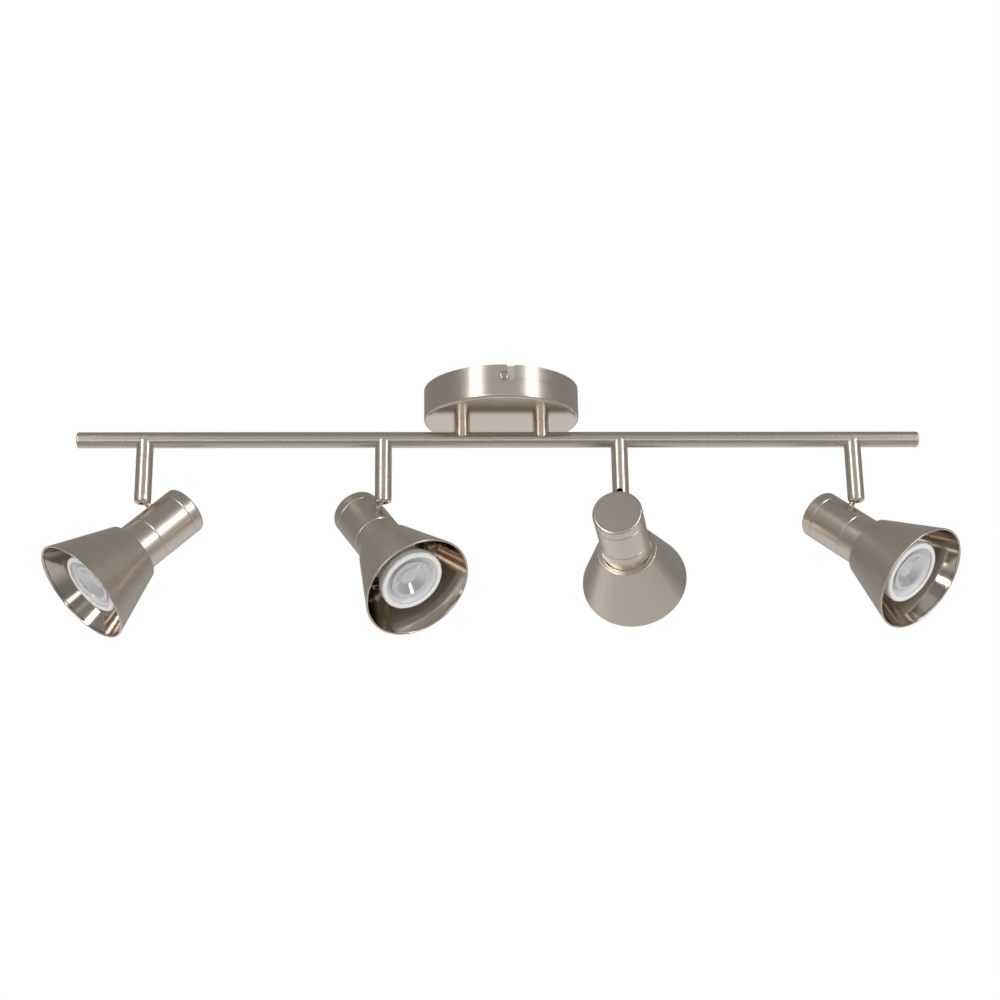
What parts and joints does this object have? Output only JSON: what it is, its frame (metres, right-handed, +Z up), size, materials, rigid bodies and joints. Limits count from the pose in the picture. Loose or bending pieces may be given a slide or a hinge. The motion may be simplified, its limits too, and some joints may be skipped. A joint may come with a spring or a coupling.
{
  "type": "track lighting fixture",
  "caption": "Ceiling spotlight bar: conical brushed nickel shades on stems that turn and tilt under a straight tube, hung from a round canopy by short posts.",
  "frame": {"origin": "middle of the canopy's rim plane, which is the ceiling, between the strap's two screw slots", "axes": "+X along the bar, +Y towards the back, +Z up into the ceiling"},
  "size_m": [0.6975, 0.1604, 0.1974],
  "materials": {
    "satin_nickel": "satin brushed nickel plate",
    "shade_nickel": "satin brushed nickel outside, polished inside",
    "zinc_steel": "zinc plated steel",
    "green_steel": "green dyed earth screw",
    "socket_ceramic": "unglazed white steatite",
    "lamp_white": "glossy white",
    "lamp_glass": "clear polished",
    "lamp_optic": "clear moulded collimator",
    "pin_brass": "nickel plated brass"
  },
  "bodies": {
    "root": {"canopy": "satin_nickel", "mounting_strap": "zinc_steel", "canopy_screws": "satin_nickel", "ground_screw": "green_steel", "bar_posts": "satin_nickel", "post_nipples": "zinc_steel", "post_nuts": "zinc_steel", "bar_tube": "satin_nickel", "bar_end_caps": "satin_nickel", "stem_collars": "satin_nickel", "swivel_nipples": "zinc_steel", "swivel_clips": "zinc_steel"},
    "arm_1": {"stem_1": "satin_nickel", "pivot_pins_1": "zinc_steel"},
    "head_1": {"knuckle_1": "satin_nickel", "neck_nut_1": "zinc_steel", "holder_cup_1": "satin_nickel", "socket_1": "socket_ceramic", "shade_bracket_1": "zinc_steel", "shade_1": "shade_nickel", "lamp_body_1": "lamp_white", "lamp_lens_1": "lamp_glass", "lamp_optic_1": "lamp_optic", "lamp_pins_1": "pin_brass"},
    "arm_2": {"stem_2": "satin_nickel", "pivot_pins_2": "zinc_steel"},
    "head_2": {"knuckle_2": "satin_nickel", "neck_nut_2": "zinc_steel", "holder_cup_2": "satin_nickel", "socket_2": "socket_ceramic", "shade_bracket_2": "zinc_steel", "shade_2": "shade_nickel", "lamp_body_2": "lamp_white", "lamp_lens_2": "lamp_glass", "lamp_optic_2": "lamp_optic", "lamp_pins_2": "pin_brass"},
    "arm_3": {"stem_3": "satin_nickel", "pivot_pins_3": "zinc_steel"},
    "head_3": {"knuckle_3": "satin_nickel", "neck_nut_3": "zinc_steel", "holder_cup_3": "satin_nickel", "socket_3": "socket_ceramic", "shade_bracket_3": "zinc_steel", "shade_3": "shade_nickel", "lamp_body_3": "lamp_white", "lamp_lens_3": "lamp_glass", "lamp_optic_3": "lamp_optic", "lamp_pins_3": "pin_brass"},
    "arm_4": {"stem_4": "satin_nickel", "pivot_pins_4": "zinc_steel"},
    "head_4": {"knuckle_4": "satin_nickel", "neck_nut_4": "zinc_steel", "holder_cup_4": "satin_nickel", "socket_4": "socket_ceramic", "shade_bracket_4": "zinc_steel", "shade_4": "shade_nickel", "lamp_body_4": "lamp_white", "lamp_lens_4": "lamp_glass", "lamp_optic_4": "lamp_optic", "lamp_pins_4": "pin_brass"}
  },
  "joints": [
    {"name": "pan_1", "type": "hinge", "parent": "root", "child": "arm_1", "pos_m": [-0.2775, 0, -0.0531], "axis": [0, 0, 1], "range_deg": [-113.5, 236.5]},
    {"name": "tilt_1", "type": "hinge", "parent": "arm_1", "child": "head_1", "pos_m": [-0.2775, 0, -0.0872], "axis": [0.4772, -0.8788, 0], "range_deg": [-43.4, 46.6]},
    {"name": "pan_2", "type": "hinge", "parent": "root", "child": "arm_2", "pos_m": [-0.0925, 0, -0.0531], "axis": [0, 0, 1], "range_deg": [-214.3, 135.7]},
    {"name": "tilt_2", "type": "hinge", "parent": "arm_2", "child": "head_2", "pos_m": [-0.0925, 0, -0.0872], "axis": [0.7738, 0.6334, 0], "range_deg": [-44, 46]},
    {"name": "pan_3", "type": "hinge", "parent": "root", "child": "arm_3", "pos_m": [0.0925, 0, -0.0531], "axis": [0, 0, 1], "range_deg": [-341.7, 8.3]},
    {"name": "tilt_3", "type": "hinge", "parent": "arm_3", "child": "head_3", "pos_m": [0.0925, 0, -0.0872], "axis": [-0.9732, 0.23, 0], "range_deg": [-15.6, 74.4]},
    {"name": "pan_4", "type": "hinge", "parent": "root", "child": "arm_4", "pos_m": [0.2775, 0, -0.0531], "axis": [0, 0, 1], "range_deg": [-219.1, 130.9]},
    {"name": "tilt_4", "type": "hinge", "parent": "arm_4", "child": "head_4", "pos_m": [0.2775, 0, -0.0872], "axis": [0.7181, 0.6959, 0], "range_deg": [-38.5, 51.5]}
  ]
}
